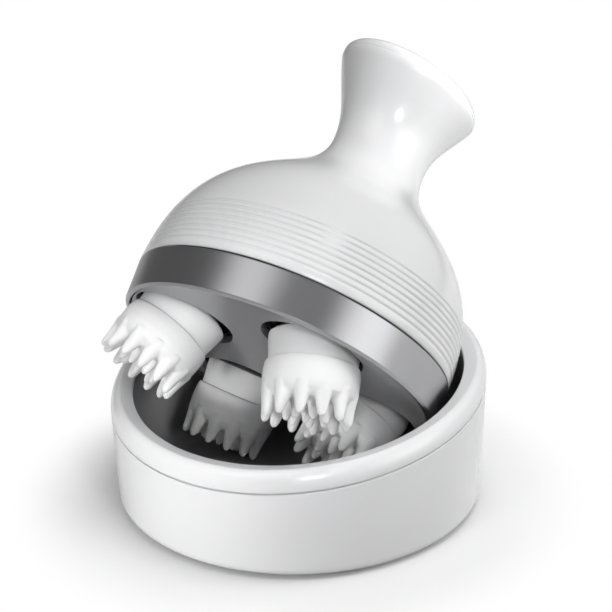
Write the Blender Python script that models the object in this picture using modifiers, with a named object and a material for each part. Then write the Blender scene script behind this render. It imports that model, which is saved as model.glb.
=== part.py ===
"""Powered scalp massager leaning in its round stand.

The stand is a white outer shell, a rim that is higher at the back, a dark bowl and a rubber foot.
The massager is a white dome with a flared finger handle, a silver ring, a grey underside and four
turning claw heads.  One motor on the dome's axis turns a drive gear that meshes with a gear on each
head's shaft.  +Z is up, +Y is the high back of the stand, and the origin is under the stand's centre.
"""
import math

import bmesh
import bpy
from mathutils import Matrix, Vector

# All lengths are in millimetres and become metres as the meshes are made
MM = 0.001

# Fits
GAP = 0.3
RUNNING_GAP = 0.6
SEAT_GAP = 0.5
FLOOR_CLEARANCE = 1.5

# Sides of round pieces
LARGE_SIDES = 36
CAP_SIDES = 24
NECK_SIDES = 18
SMALL_SIDES = 8
TINE_SIDES = 5

# Stand
FOOT_THICKNESS = 0.8
FOOT_PROUD = 0.4
BOTTOM_FILLET = 3.5
STAND_WALL = 2.3
WALL_DRAFT = math.radians(1.6)
FLANGE_WIDTH = 10.5
FLANGE_THICKNESS = 2.0
RIM_SLANT = math.radians(8.2)
RIM_CLEARANCE = 1.1
RIM_BELOW_RING = 4.8
RIM_BAND = 3.9
RIM_BAND_RISE = 1.0
RIM_SHOULDER = 3.0
RIM_SHOULDER_RISE = 4.6
RIM_EDGE = 1.0
RIM_LIP = 1.3
RIM_SPIGOT_DEPTH = 3.8
RIM_SPIGOT_WALL = 1.9
BOWL_WALL = 1.8
BOWL_FLOOR = 1.5
BOWL_FLANGE = 1.7
BOWL_LIP_STEP = 0.2
BOWL_TAPER = 2.9
BOWL_CORNER = 2.8
BOWL_CORNER_RISE = 1.5
BOWL_KNEE = 8.4

# Massager in the stand
LEAN_ANGLE = math.radians(47.0)
SIDEWAYS = -0.5

# Massager casing
RING_RADIUS = 50.0
RING_FLARE = 0.9
RING_HEIGHT = 12.4
RING_WALL = 1.7
RING_CHAMFER = 0.7
DOME_WALL = 2.4
DOME_RISE = 46.0
WAIST_RADIUS = 15.5
WAIST_HEIGHT = 75.5
WAIST_RISE = 22.0
HANDLE_RADIUS = 24.0
HANDLE_HEIGHT = 101.7
HANDLE_RISE = 10.0
HANDLE_FLARE = 4.0
HANDLE_LAND = 1.0
HANDLE_SLANT = math.radians(10.0)
HANDLE_OFFSET = 3.7
OFFSET_START = 47.7
DOME_STEPS = 10
HANDLE_STEPS = 5
CAP_THICKNESS = 3.4
CAP_EDGE = 3.0
CAP_EDGE_LAND = 0.4
CAP_SPIGOT_DEPTH = 4.0
CAP_SPIGOT_WALL = 1.8

# Underside and chassis
UNDERSIDE_RECESS = 0.6
UNDERSIDE_THICKNESS = 2.5
PILLAR_RADIUS = 3.5
PILLAR_INSET = 2.3
CHASSIS_THICKNESS = 2.5
SCREW_RADIUS = 1.4
SCREW_HEAD_RADIUS = 3.0
SCREW_HEAD_HEIGHT = 1.8
SCREW_LENGTH = 8.8

# Heads
HEAD_TILT = math.radians(16.0)
HEAD_PIVOT_HEIGHT = 4.0
NECK_RADIUS = 13.6
NECK_TOP_RADIUS = 6.0
NECK_TOP_RISE = 2.5
NECK_SHOULDER = 0.6
NECK_DROP = 8.3
NECK_EDGE = 0.8
SPIGOT_STEP = 4.3
SPIGOT_LENGTH = 3.9
CUP_STEP = 0.7
CUP_DEPTH = 9.6
CUP_DRAFT = 0.3
CUP_EDGE = 1.7
TINE_DROP = 24.7
TINE_ROOT = 1.6
TINE_INSET = 0.25
TINE_TIP_RADIUS = 1.3
TINE_TIP_ROUND = 0.5
TINE_TIP_LENGTH = 1.0
OUTER_TINES = 12
OUTER_TINE_RADIUS = 2.95
INNER_TINES = 7
INNER_TINE_RADIUS = 1.9
TINE_ROW_PITCH = 5.5
SEAL_THICKNESS = 1.6
SEAL_WIDTH = 1.2

# Drive
DRIVE_TEETH = 28
HEAD_TEETH = 16
GEAR_CLEARANCE = 2.1
GEAR_THICKNESS = 3.0
TOOTH_ADDENDUM = 0.8
TOOTH_DEDENDUM = 1.15
TOOTH_SHARE = 0.40
TOOTH_TIP_SHARE = 0.20
SHAFT_RADIUS = 2.5
SHAFT_REACH = 2.9
SHAFT_HEAD_RADIUS = 3.8
SHAFT_HEAD_HEIGHT = 1.0
BUSH_WALL = 1.2
BUSH_FLANGE = 1.2
BUSH_FLANGE_HEIGHT = 0.8
BUSH_DROP = 1.3
MOTOR_RADIUS = 14.0
MOTOR_LENGTH = 23.9
MOTOR_EDGE = 1.0
MOTOR_BOSS_RADIUS = 4.7
MOTOR_BOSS_DEPTH = 2.5
MOTOR_SHAFT_RADIUS = 2.0
MOTOR_SHAFT_DEPTH = 2.4
MOTOR_SCREW_CIRCLE = 9.0
MOTOR_SCREW_RADIUS = 1.2
MOTOR_SCREW_HEAD_RADIUS = 2.0
MOTOR_SCREW_HEAD_HEIGHT = 1.6
MOTOR_SCREW_LENGTH = 6.5

# Power and control
BATTERY_RADIUS = 8.5
BATTERY_OFFSET = 2.5
CRADLE_WALL = 1.6
CRADLE_HEIGHT = 18.0
BOARD_ROOM = 6.2
BOARD_THICKNESS = 1.6
BOARD_MARGIN = 0.4
POST_RADIUS = 2.0
POST_LENGTH = 16.8
BOARD_SCREW_RADIUS = 1.0
BOARD_SCREW_HEAD_RADIUS = 1.9
BOARD_SCREW_HEAD_HEIGHT = 1.4
BOARD_SCREW_LENGTH = 6.0
SWITCH_SIDE = 6.0
SWITCH_HEIGHT = 3.5
BUTTON_RADIUS = 6.5
BUTTON_CROWN = 0.7
BUTTON_EDGE = 1.0
BUTTON_FLANGE = 1.2
BUTTON_FLANGE_HEIGHT = 1.7
BUTTON_STEM_RADIUS = 3.0
BUTTON_TRAVEL = 1.0
SOCKET_WIDTH = 9.0
SOCKET_HEIGHT = 3.2
SOCKET_BACK = 7.0
SOCKET_RECESS = 0.4
SOCKET_SLOT_WIDTH = 7.6
SOCKET_SLOT_HEIGHT = 1.8
SOCKET_SLOT_DEPTH = 6.0
CUTTER_OVERRUN = 6.0

# Heads by name: side along X, side along Y, and the way the claws lean, in degrees
HEADS = {
    "front_left": (-1, -1, 205.0),
    "front_right": (1, -1, 30.0),
    "back_left": (-1, 1, 120.0),
    "back_right": (1, 1, 260.0),
}

for old_object in list(bpy.data.objects):
    bpy.data.objects.remove(old_object, do_unlink=True)

parts = bpy.data.collections.new("scalp_massager")
cutters = bpy.data.collections.new("cutters")
bpy.context.scene.collection.children.link(parts)
bpy.context.scene.collection.children.link(cutters)


def finish(name, colour, roughness, metallic=0.0):
    """A plain material in one colour."""
    material = bpy.data.materials.new(name)
    material.use_nodes = True
    shader = material.node_tree.nodes["Principled BSDF"]
    shader.inputs["Base Color"].default_value = (*colour, 1.0)
    shader.inputs["Roughness"].default_value = roughness
    shader.inputs["Metallic"].default_value = metallic
    return material


WHITE_GLOSS = finish("white_gloss", (0.86, 0.86, 0.87), 0.22)
SATIN_SILVER = finish("satin_silver", (0.55, 0.55, 0.57), 0.3, 1.0)
GREY_UNDERSIDE = finish("grey_underside", (0.28, 0.28, 0.29), 0.38, 0.6)
DARK_BOWL = finish("dark_bowl", (0.03, 0.03, 0.033), 0.3)
SILICONE = finish("white_silicone", (0.84, 0.84, 0.84), 0.5)
NECK_WHITE = finish("neck_white", (0.8, 0.8, 0.81), 0.4)
RUBBER = finish("black_rubber", (0.02, 0.02, 0.02), 0.8)
ACETAL = finish("natural_acetal", (0.75, 0.74, 0.7), 0.45)
STEEL = finish("steel", (0.6, 0.6, 0.6), 0.3, 1.0)
BRONZE = finish("bronze_bush", (0.5, 0.32, 0.14), 0.4, 1.0)
GREY_PLASTIC = finish("grey_plastic", (0.3, 0.3, 0.32), 0.5)
BOARD_GREEN = finish("board_green", (0.02, 0.16, 0.06), 0.5)
BATTERY_BLUE = finish("battery_blue", (0.05, 0.12, 0.35), 0.4)


def place(name, mesh, material, parent=None, location=(0, 0, 0), turn=(0, 0, 0), collection=parts):
    """A named object at a place given in millimetres, under its parent."""
    item = bpy.data.objects.new(name, mesh)
    collection.objects.link(item)
    item.parent = parent
    item.location = Vector(location) * MM
    item.rotation_euler = turn
    if material is not None:
        mesh.materials.clear()
        mesh.materials.append(material)
    if collection is cutters:
        item.hide_render = True
        item.display_type = "WIRE"
    return item


def frame(name, parent=None, location=(0, 0, 0), turn=(0, 0, 0)):
    """An empty that carries a group of pieces."""
    empty = bpy.data.objects.new(name, None)
    parts.objects.link(empty)
    empty.parent = parent
    empty.location = Vector(location) * MM
    empty.rotation_euler = turn
    return empty


def baked(item):
    """The evaluated mesh of an object, welded, as a mesh of its own; the object is removed."""
    bpy.context.view_layer.update()
    graph = bpy.context.evaluated_depsgraph_get()
    mesh = bpy.data.meshes.new_from_object(item.evaluated_get(graph))
    mesh.name = item.name
    bpy.data.objects.remove(item, do_unlink=True)
    work = bmesh.new()
    work.from_mesh(mesh)
    bmesh.ops.remove_doubles(work, verts=work.verts, dist=0.000001)
    work.to_mesh(mesh)
    work.free()
    return mesh


def smooth(mesh):
    """Round faces shade smooth and the corners stay sharp."""
    mesh.shade_smooth()
    mesh.set_sharp_from_angle(angle=math.radians(35))
    return mesh


def turned(name, profile, rounds, closed=True):
    """A mesh turned about Z from (radius, height) points, which run down the outer side."""
    outline = bpy.data.meshes.new(name)
    points = [(radius * MM, 0.0, height * MM) for radius, height in profile]
    edges = [(i, i + 1) for i in range(len(points) - 1)]
    if closed:
        edges.append((len(points) - 1, 0))
    outline.from_pydata(points, edges, [])
    item = place(name, outline, None)
    screw_step = item.modifiers.new("turn", "SCREW")
    screw_step.axis = "Z"
    screw_step.angle = 2 * math.pi
    screw_step.steps = rounds
    screw_step.render_steps = rounds
    screw_step.use_merge_vertices = True
    screw_step.merge_threshold = 0.000001
    return smooth(baked(item))


def rod(name, radius, bottom, top, rounds):
    """A plain cylinder between two heights."""
    profile = [(0, top), (radius, top), (radius, bottom), (0, bottom)]
    return turned(name, profile, rounds, closed=False)


def block(name, size, centre):
    """A box with its size and centre in millimetres."""
    work = bmesh.new()
    bmesh.ops.create_cube(work, size=MM)
    bmesh.ops.scale(work, vec=Vector(size), verts=work.verts)
    bmesh.ops.translate(work, vec=Vector(centre) * MM, verts=work.verts)
    mesh = bpy.data.meshes.new(name)
    work.to_mesh(mesh)
    work.free()
    return mesh


def combine(target, tool, operation):
    """A Boolean with a hidden cutter."""
    step = target.modifiers.new(tool.name, "BOOLEAN")
    step.operation = operation
    step.object = tool
    step.solver = "EXACT"
    step.use_self = operation == "UNION"


def joined(name, meshes):
    """Several separate meshes, each with its own matrix, in one mesh."""
    work = bmesh.new()
    for mesh, matrix in meshes:
        before = len(work.verts)
        work.from_mesh(mesh)
        work.verts.ensure_lookup_table()
        bmesh.ops.transform(work, matrix=matrix, verts=work.verts[before:])
    result = bpy.data.meshes.new(name)
    work.to_mesh(result)
    work.free()
    return result


def at(x, y, z=0.0):
    """A move in millimetres as a matrix."""
    return Matrix.Translation(Vector((x, y, z)) * MM)


def arc(centre, across, up, start, end, steps):
    """Points on an elliptical arc about a centre, with angles in degrees."""
    points = []
    for i in range(steps + 1):
        angle = math.radians(start + (end - start) * i / steps)
        points.append((centre[0] + across * math.cos(angle), centre[1] + up * math.sin(angle)))
    return points


def bezier(first, first_handle, last_handle, last, steps):
    """Points on a cubic curve, both ends included."""
    points = []
    for i in range(steps + 1):
        t = i / steps
        u = 1 - t
        weights = (u ** 3, 3 * u * u * t, 3 * u * t * t, t ** 3)
        ends = (first, first_handle, last_handle, last)
        radius = sum(weight * point[0] for weight, point in zip(weights, ends))
        height = sum(weight * point[1] for weight, point in zip(weights, ends))
        points.append((radius, height))
    return points


# Outline of the dome and the handle, from the top of the ring to the top of the handle
ring_top_radius = RING_RADIUS + RING_FLARE
dome_bottom = RING_HEIGHT + GAP
flare_height = HANDLE_HEIGHT - HANDLE_LAND
dome_curve = bezier((ring_top_radius, dome_bottom), (ring_top_radius, dome_bottom + DOME_RISE),
                    (WAIST_RADIUS, WAIST_HEIGHT - WAIST_RISE), (WAIST_RADIUS, WAIST_HEIGHT), DOME_STEPS)
handle_curve = bezier((WAIST_RADIUS, WAIST_HEIGHT), (WAIST_RADIUS, WAIST_HEIGHT + HANDLE_RISE),
                      (HANDLE_RADIUS - HANDLE_FLARE, flare_height - HANDLE_RISE),
                      (HANDLE_RADIUS, flare_height), HANDLE_STEPS)
shell_curve = dome_curve + handle_curve[1:] + [(HANDLE_RADIUS, HANDLE_HEIGHT)]


def shell_radius(height):
    """The outer radius of the dome or handle at a height."""
    for (low_radius, low), (high_radius, high) in zip(shell_curve, shell_curve[1:]):
        if low <= height <= high:
            return low_radius + (high_radius - low_radius) * (height - low) / (high - low)
    return shell_curve[0][0]


def handle_shift(height):
    """How far the shell's centre has moved over at a height, from 0 to 1."""
    share = (height - OFFSET_START) / (WAIST_HEIGHT - OFFSET_START)
    share = min(max(share, 0.0), 1.0)
    return share * share * (3 - 2 * share)


# Places of the heads in the underside: as far out as the ring lets their seals go
ring_inner = RING_RADIUS - RING_WALL
underside_radius = ring_inner - GAP
underside_top = UNDERSIDE_RECESS + UNDERSIDE_THICKNESS
neck_reach = NECK_RADIUS / math.cos(HEAD_TILT)
hole_radius = neck_reach + (HEAD_PIVOT_HEIGHT - UNDERSIDE_RECESS) * math.tan(HEAD_TILT) + RUNNING_GAP
seal_inner = neck_reach + RUNNING_GAP
seal_outer = seal_inner + SEAL_WIDTH
head_circle = underside_radius - seal_outer - GAP
head_spacing = head_circle / math.sqrt(2)
cup_radius = NECK_RADIUS + CUP_STEP
outer_tine_circle = cup_radius - OUTER_TINE_RADIUS - TINE_INSET

# The massager's height in the stand: the lowest claw of a turning head clears the bowl's floor
bowl_bottom = FOOT_THICKNESS + GAP
bowl_floor_top = bowl_bottom + BOWL_FLOOR
claw_radius = outer_tine_circle + TINE_TIP_RADIUS
claw_angle = LEAN_ANGLE - HEAD_TILT
claw_reach = TINE_DROP * math.cos(claw_angle) + claw_radius * math.sin(claw_angle)
pivot_drop = head_spacing * math.sin(LEAN_ANGLE) - HEAD_PIVOT_HEIGHT * math.cos(LEAN_ANGLE)
ring_centre_z = bowl_floor_top + FLOOR_CLEARANCE + claw_reach + pivot_drop

# Stand levels and radii, taken from the ring that stands in it
rim_inner_radius = RING_RADIUS + RIM_CLEARANCE
rim_crest_radius = rim_inner_radius + RIM_BAND
seam_radius = rim_crest_radius + RIM_SHOULDER
rim_inner_height = ring_centre_z - RIM_BELOW_RING
rim_crest_height = rim_inner_height + RIM_BAND_RISE
rim_edge_height = rim_crest_height - RIM_SHOULDER_RISE
seam_height = rim_edge_height - RIM_EDGE
rim_under = rim_inner_height - RIM_LIP


def rim_gap(centre_y):
    """The least gap between the dome and the rim's inner edge at the back, for a place of the massager."""
    least = RING_RADIUS
    for radius, height in bezier(dome_curve[0], (ring_top_radius, dome_bottom + DOME_RISE),
                                 (WAIST_RADIUS, WAIST_HEIGHT - WAIST_RISE), dome_curve[-1], 60):
        for i in range(120):
            angle = 2 * math.pi * i / 120
            x = SIDEWAYS + radius * math.sin(angle) + handle_shift(height) * HANDLE_OFFSET
            along = radius * math.cos(angle)
            y = centre_y + along * math.cos(LEAN_ANGLE) + height * math.sin(LEAN_ANGLE)
            z = ring_centre_z - along * math.sin(LEAN_ANGLE) + height * math.cos(LEAN_ANGLE)
            level = z - math.tan(RIM_SLANT) * y
            if y > 0 and rim_under <= level <= rim_crest_height:
                least = min(least, rim_inner_radius - math.hypot(x, y))
    return least


# The massager leans back until its dome is one seat gap from the rim
front_limit = -RING_RADIUS
back_limit = 0.0
for halving in range(20):
    ring_centre_y = (front_limit + back_limit) / 2
    if rim_gap(ring_centre_y) > SEAT_GAP:
        front_limit = ring_centre_y
    else:
        back_limit = ring_centre_y


def slanted(mesh, level, full, slope, axis):
    """Slopes a turned mesh up along X (axis 0) or Y (axis 1): not at all below level, fully above full."""
    for vertex in mesh.vertices:
        share = 1.0
        if full > level:
            share = (vertex.co.z / MM - level) / (full - level)
        share = min(max(share, 0.0), 1.0)
        vertex.co.z += share * slope * vertex.co[axis]
    return mesh


# Stand: the foot lies on the table under the bowl, the bowl's edge lies on the shell, the rim joins the two
rim_slope = math.tan(RIM_SLANT)
shell_bottom = FOOT_PROUD
shell_top = seam_height - GAP
fillet_height = shell_bottom + BOTTOM_FILLET
flange_top = shell_bottom + FLANGE_THICKNESS
wall_foot_radius = seam_radius - (shell_top - fillet_height) * math.tan(WALL_DRAFT)
flange_radius = wall_foot_radius - FLANGE_WIDTH
foot_radius = flange_radius - GAP
fillet_radius = wall_foot_radius - BOTTOM_FILLET

place("foot_pad", rod("foot_pad", foot_radius, 0, FOOT_THICKNESS, LARGE_SIDES), RUBBER)

shell_profile = [(seam_radius, shell_top)]
shell_profile += arc((fillet_radius, fillet_height), BOTTOM_FILLET, BOTTOM_FILLET, 0, -90, 3)
shell_profile += [
    (flange_radius, shell_bottom),
    (flange_radius, flange_top),
    (fillet_radius, flange_top),
    (wall_foot_radius - STAND_WALL, fillet_height),
    (seam_radius - STAND_WALL, shell_top),
]
shell = slanted(turned("stand_shell", shell_profile, LARGE_SIDES), fillet_height, shell_top, rim_slope, 1)
place("stand_shell", shell, WHITE_GLOSS)

rim_spigot_outer = seam_radius - STAND_WALL - GAP
rim_spigot_inner = rim_spigot_outer - RIM_SPIGOT_WALL
rim_spigot_bottom = seam_height - RIM_SPIGOT_DEPTH
rim_profile = [(rim_inner_radius, rim_inner_height)]
rim_profile += arc((rim_crest_radius, rim_edge_height), RIM_SHOULDER, RIM_SHOULDER_RISE, 90, 0, 4)
rim_profile += [
    (seam_radius, seam_height),
    (rim_spigot_outer, seam_height),
    (rim_spigot_outer, rim_spigot_bottom),
    (rim_spigot_inner, rim_spigot_bottom),
    (rim_spigot_inner, rim_under),
    (rim_inner_radius, rim_under),
]
rim = slanted(turned("stand_rim", rim_profile, LARGE_SIDES), 0.0, 0.0, rim_slope, 1)
place("stand_rim", rim, WHITE_GLOSS)

bowl_top = rim_under - GAP
bowl_flange_under = bowl_top - BOWL_FLANGE
bowl_lip_radius = rim_inner_radius + BOWL_LIP_STEP
bowl_lip_outer = rim_spigot_inner - GAP
bowl_foot_radius = flange_radius - GAP
bowl_step_height = flange_top + GAP
bowl_floor_radius = bowl_foot_radius - BOWL_CORNER
bowl_knee_radius = bowl_lip_radius - BOWL_TAPER
bowl_knee_height = bowl_floor_top + BOWL_KNEE
bowl_profile = [(0, bowl_floor_top)]
bowl_profile += arc((bowl_floor_radius, bowl_knee_height), bowl_knee_radius - bowl_floor_radius,
                    BOWL_KNEE, -90, 0, 3)
bowl_profile += [
    (bowl_lip_radius, bowl_top),
    (bowl_lip_outer, bowl_top),
    (bowl_lip_outer, bowl_flange_under),
    (bowl_lip_radius + BOWL_WALL, bowl_flange_under),
    (bowl_knee_radius + BOWL_WALL, bowl_knee_height),
    (bowl_knee_radius, bowl_step_height + BOWL_CORNER_RISE),
    (bowl_foot_radius, bowl_step_height),
    (bowl_foot_radius, bowl_bottom),
    (0, bowl_bottom),
]
bowl = turned("stand_bowl", bowl_profile, LARGE_SIDES, closed=False)
place("stand_bowl", slanted(bowl, bowl_knee_height, bowl_flange_under, rim_slope, 1), DARK_BOWL)

# Massager: everything hangs on one frame, with Z along the dome's axis and its origin in the ring's bottom
massager = frame("massager_frame", None, (SIDEWAYS, ring_centre_y, ring_centre_z), (-LEAN_ANGLE, 0, 0))

ring_profile = [
    (ring_top_radius, RING_HEIGHT),
    (RING_RADIUS, RING_CHAMFER),
    (RING_RADIUS - RING_CHAMFER, 0),
    (ring_inner, 0),
    (ring_inner, RING_HEIGHT),
]
place("trim_ring", turned("trim_ring", ring_profile, LARGE_SIDES), SATIN_SILVER, massager)

# Dome and handle: one turned shell with a slanted top, its upper part moved over to the handle's centre
handle_slope = -math.tan(HANDLE_SLANT)
upright_shell = place("dome_shell", turned("dome_shell", shell_curve[::-1], LARGE_SIDES, closed=False), None)
wall = upright_shell.modifiers.new("wall", "SOLIDIFY")
wall.thickness = DOME_WALL * MM
wall.offset = -1.0
wall.use_even_offset = True
dome = slanted(baked(upright_shell), WAIST_HEIGHT, HANDLE_HEIGHT, handle_slope, 0)
for vertex in dome.vertices:
    vertex.co.x += handle_shift(vertex.co.z / MM) * HANDLE_OFFSET * MM
dome_shell = place("dome_shell", smooth(dome), WHITE_GLOSS, massager)

# Levels inside: up from the underside to the motor, down from the cap to the board, the battery between
neck_top = HEAD_PIVOT_HEIGHT + NECK_TOP_RISE * math.cos(HEAD_TILT) + NECK_TOP_RADIUS * math.sin(HEAD_TILT)
gear_bottom = neck_top + GEAR_CLEARANCE
gear_top = gear_bottom + GEAR_THICKNESS
chassis_bottom = gear_top + RUNNING_GAP + MOTOR_SCREW_HEAD_HEIGHT + GAP
chassis_top = chassis_bottom + CHASSIS_THICKNESS
motor_bottom = chassis_top + GAP
motor_top = motor_bottom + MOTOR_LENGTH
cradle_bottom = motor_top + GAP
cradle_floor = cradle_bottom + CRADLE_WALL
battery_bottom = cradle_floor + GAP
cap_bottom = HANDLE_HEIGHT + GAP
fitting_bottom = cap_bottom - POST_LENGTH
board_top = fitting_bottom - GAP
board_bottom = board_top - BOARD_THICKNESS
battery_top = board_bottom - BOARD_ROOM
handle_place = (HANDLE_OFFSET, 0, 0)

socket_middle = fitting_bottom + SOCKET_HEIGHT / 2
socket_length = shell_radius(socket_middle) - SOCKET_RECESS - SOCKET_BACK
socket_centre_y = SOCKET_BACK + socket_length / 2
window_size = (SOCKET_WIDTH + 2 * GAP, socket_length + CUTTER_OVERRUN, SOCKET_HEIGHT + 2 * GAP)
window_centre = (HANDLE_OFFSET, socket_centre_y + CUTTER_OVERRUN / 2, socket_middle)
window = place("socket_window", block("socket_window", window_size, window_centre), None, massager,
               collection=cutters)
combine(dome_shell, window, "DIFFERENCE")

# Gear sizes, from the distance between the drive and the heads
module = 2 * head_circle / (DRIVE_TEETH + HEAD_TEETH)
head_gear_reach = module * (HEAD_TEETH / 2 + TOOTH_ADDENDUM)

# Underside: a round plate inside the ring, with a hole for each neck and four pillars up to the chassis
seal_bottom = underside_top + GAP
seal_top = seal_bottom + SEAL_THICKNESS
skirt_inner = head_circle + max(head_gear_reach, NECK_RADIUS) + RUNNING_GAP
pillar_circle = skirt_inner - PILLAR_RADIUS - PILLAR_INSET
screw_seat = chassis_top + GAP
screw_tip = screw_seat - SCREW_LENGTH
pillar_places = [(pillar_circle, 0), (0, pillar_circle), (-pillar_circle, 0), (0, -pillar_circle)]
head_places = {name: (sx * head_spacing, sy * head_spacing) for name, (sx, sy, lean) in HEADS.items()}

underside_mesh = rod("underside_plate", underside_radius, UNDERSIDE_RECESS, underside_top, LARGE_SIDES)
underside = place("underside_plate", underside_mesh, GREY_UNDERSIDE, massager)
pillar_root = UNDERSIDE_RECESS + UNDERSIDE_THICKNESS / 2
pillar = rod("pillar", PILLAR_RADIUS, pillar_root, chassis_bottom - GAP, SMALL_SIDES)
pillars = joined("pillars", [(pillar, at(x, y)) for x, y in pillar_places])
combine(underside, place("pillars", pillars, None, massager, collection=cutters), "UNION")
hole = rod("neck_hole", hole_radius, -CUTTER_OVERRUN, CUTTER_OVERRUN, NECK_SIDES)
pillar_bore = rod("pillar_bore", SCREW_RADIUS + GAP, screw_tip - GAP, chassis_top, SMALL_SIDES)
underside_cuts = [(hole, at(x, y)) for x, y in head_places.values()]
underside_cuts += [(pillar_bore, at(x, y)) for x, y in pillar_places]
underside_cutter = joined("underside_cuts", underside_cuts)
openings = place("underside_cuts", underside_cutter, None, massager, collection=cutters)
combine(underside, openings, "DIFFERENCE")

# Chassis: a plate on the pillars that holds bushes and motor, with a skirt inside the dome's edge
bush_outer = SHAFT_RADIUS + GAP + BUSH_WALL
chassis_radius = min(shell_radius(chassis_top) - DOME_WALL - GAP, underside_radius)
skirt_bottom = seal_top + GAP
chassis_profile = [
    (0, chassis_top),
    (chassis_radius, chassis_top),
    (chassis_radius, skirt_bottom),
    (skirt_inner, skirt_bottom),
    (skirt_inner, chassis_bottom),
    (0, chassis_bottom),
]
chassis_mesh = turned("chassis", chassis_profile, LARGE_SIDES, closed=False)
chassis = place("chassis", chassis_mesh, GREY_PLASTIC, massager)
motor_screw_places = [(MOTOR_SCREW_CIRCLE, 0), (-MOTOR_SCREW_CIRCLE, 0)]


def through(name, radius, rounds):
    """A cutter that runs right through the chassis."""
    return rod(name, radius, chassis_bottom - CUTTER_OVERRUN, chassis_top + CUTTER_OVERRUN, rounds)


bush_hole = through("bush_hole", bush_outer + GAP, SMALL_SIDES)
screw_hole = through("screw_hole", SCREW_RADIUS + GAP, SMALL_SIDES)
motor_screw_hole = through("motor_screw_hole", MOTOR_SCREW_RADIUS + GAP, SMALL_SIDES)
boss_hole = through("boss_hole", MOTOR_BOSS_RADIUS + GAP, NECK_SIDES)
chassis_cuts = [(bush_hole, at(x, y)) for x, y in head_places.values()]
chassis_cuts += [(screw_hole, at(x, y)) for x, y in pillar_places]
chassis_cuts += [(motor_screw_hole, at(x, y)) for x, y in motor_screw_places]
chassis_cuts.append((boss_hole, at(0, 0)))
chassis_cutter = joined("chassis_cuts", chassis_cuts)
combine(chassis, place("chassis_cuts", chassis_cutter, None, massager, collection=cutters), "DIFFERENCE")


def screw(name, radius, head_radius, seat, head_height, length, up=1):
    """A screw with its head's underside at seat; up is 1 with the head on top and -1 with it below."""
    head = seat + up * head_height
    tip = seat - up * length
    profile = [(0, head), (head_radius, head), (head_radius, seat), (radius, seat), (radius, tip), (0, tip)]
    if up < 0:
        profile.reverse()
    return turned(name, profile, SMALL_SIDES, closed=False)


chassis_screw = screw("chassis_screw", SCREW_RADIUS, SCREW_HEAD_RADIUS, screw_seat, SCREW_HEAD_HEIGHT,
                      SCREW_LENGTH)
for number, (x, y) in enumerate(pillar_places, 1):
    place(f"chassis_screw_{number}", chassis_screw, STEEL, massager, (x, y, 0))

# Motor: on the chassis, with its boss in the chassis's hole and two screws from below
motor_bore = MOTOR_SHAFT_RADIUS + GAP
motor_bore_top = motor_bottom + MOTOR_SHAFT_DEPTH
motor_profile = [
    (0, motor_top),
    (MOTOR_RADIUS - MOTOR_EDGE, motor_top),
    (MOTOR_RADIUS, motor_top - MOTOR_EDGE),
    (MOTOR_RADIUS, motor_bottom),
    (MOTOR_BOSS_RADIUS, motor_bottom),
    (MOTOR_BOSS_RADIUS, motor_bottom - MOTOR_BOSS_DEPTH),
    (motor_bore, motor_bottom - MOTOR_BOSS_DEPTH),
    (motor_bore, motor_bore_top),
    (0, motor_bore_top),
]
motor = place("motor", turned("motor", motor_profile, NECK_SIDES, closed=False), STEEL, massager)
motor_screw_seat = chassis_bottom - GAP
motor_screw_tip = motor_screw_seat + MOTOR_SCREW_LENGTH
tapped = rod("tapped_hole", MOTOR_SCREW_RADIUS + GAP, chassis_bottom, motor_screw_tip + GAP, SMALL_SIDES)
tapped_holes = joined("tapped_holes", [(tapped, at(x, y)) for x, y in motor_screw_places])
combine(motor, place("tapped_holes", tapped_holes, None, massager, collection=cutters), "DIFFERENCE")
motor_screw = screw("motor_screw", MOTOR_SCREW_RADIUS, MOTOR_SCREW_HEAD_RADIUS, motor_screw_seat,
                    MOTOR_SCREW_HEAD_HEIGHT, MOTOR_SCREW_LENGTH, up=-1)
for number, (x, y) in enumerate(motor_screw_places, 1):
    place(f"motor_screw_{number}", motor_screw, STEEL, massager, (x, y, 0))

# Gears: the drive gear on the motor's shaft meshes with the gear of each head
def gear(name, teeth, bore, first_tooth):
    """A spur gear with straight-sided teeth; first_tooth is the angle of one tooth, in radians."""
    pitch_radius = module * teeth / 2
    tip_radius = pitch_radius + TOOTH_ADDENDUM * module
    root_radius = pitch_radius - TOOTH_DEDENDUM * module
    pitch = 2 * math.pi / teeth
    root_share = TOOTH_SHARE + (TOOTH_SHARE - TOOTH_TIP_SHARE) * TOOTH_DEDENDUM / TOOTH_ADDENDUM
    outline = []
    for tooth in range(teeth):
        middle = first_tooth + tooth * pitch
        for radius, share in ((root_radius, -root_share), (tip_radius, -TOOTH_TIP_SHARE),
                              (tip_radius, TOOTH_TIP_SHARE), (root_radius, root_share)):
            angle = middle + share * pitch / 2
            outline.append((radius * math.cos(angle), radius * math.sin(angle)))
    circle = []
    for i in range(SMALL_SIDES):
        angle = 2 * math.pi * i / SMALL_SIDES
        circle.append((bore * math.cos(angle), bore * math.sin(angle)))
    curve = bpy.data.curves.new(name, "CURVE")
    curve.dimensions = "2D"
    curve.fill_mode = "BOTH"
    curve.extrude = GEAR_THICKNESS / 2 * MM
    for ring in (outline, circle):
        spline = curve.splines.new("POLY")
        spline.points.add(len(ring) - 1)
        spline.use_cyclic_u = True
        for point, (x, y) in zip(spline.points, ring):
            point.co = (x * MM, y * MM, 0.0, 1.0)
    item = bpy.data.objects.new(name, curve)
    parts.objects.link(item)
    mesh = baked(item)
    mesh.transform(at(0, 0, gear_bottom + GEAR_THICKNESS / 2))
    return mesh


drive_axis = frame("drive_axis", massager)
drive_gear = gear("drive_gear", DRIVE_TEETH, motor_bore, math.radians(45))
place("drive_gear", drive_gear, ACETAL, drive_axis)
motor_shaft = rod("motor_shaft", MOTOR_SHAFT_RADIUS, gear_bottom - GAP, motor_bore_top - GAP, SMALL_SIDES)
place("motor_shaft", motor_shaft, STEEL, drive_axis)

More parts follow.
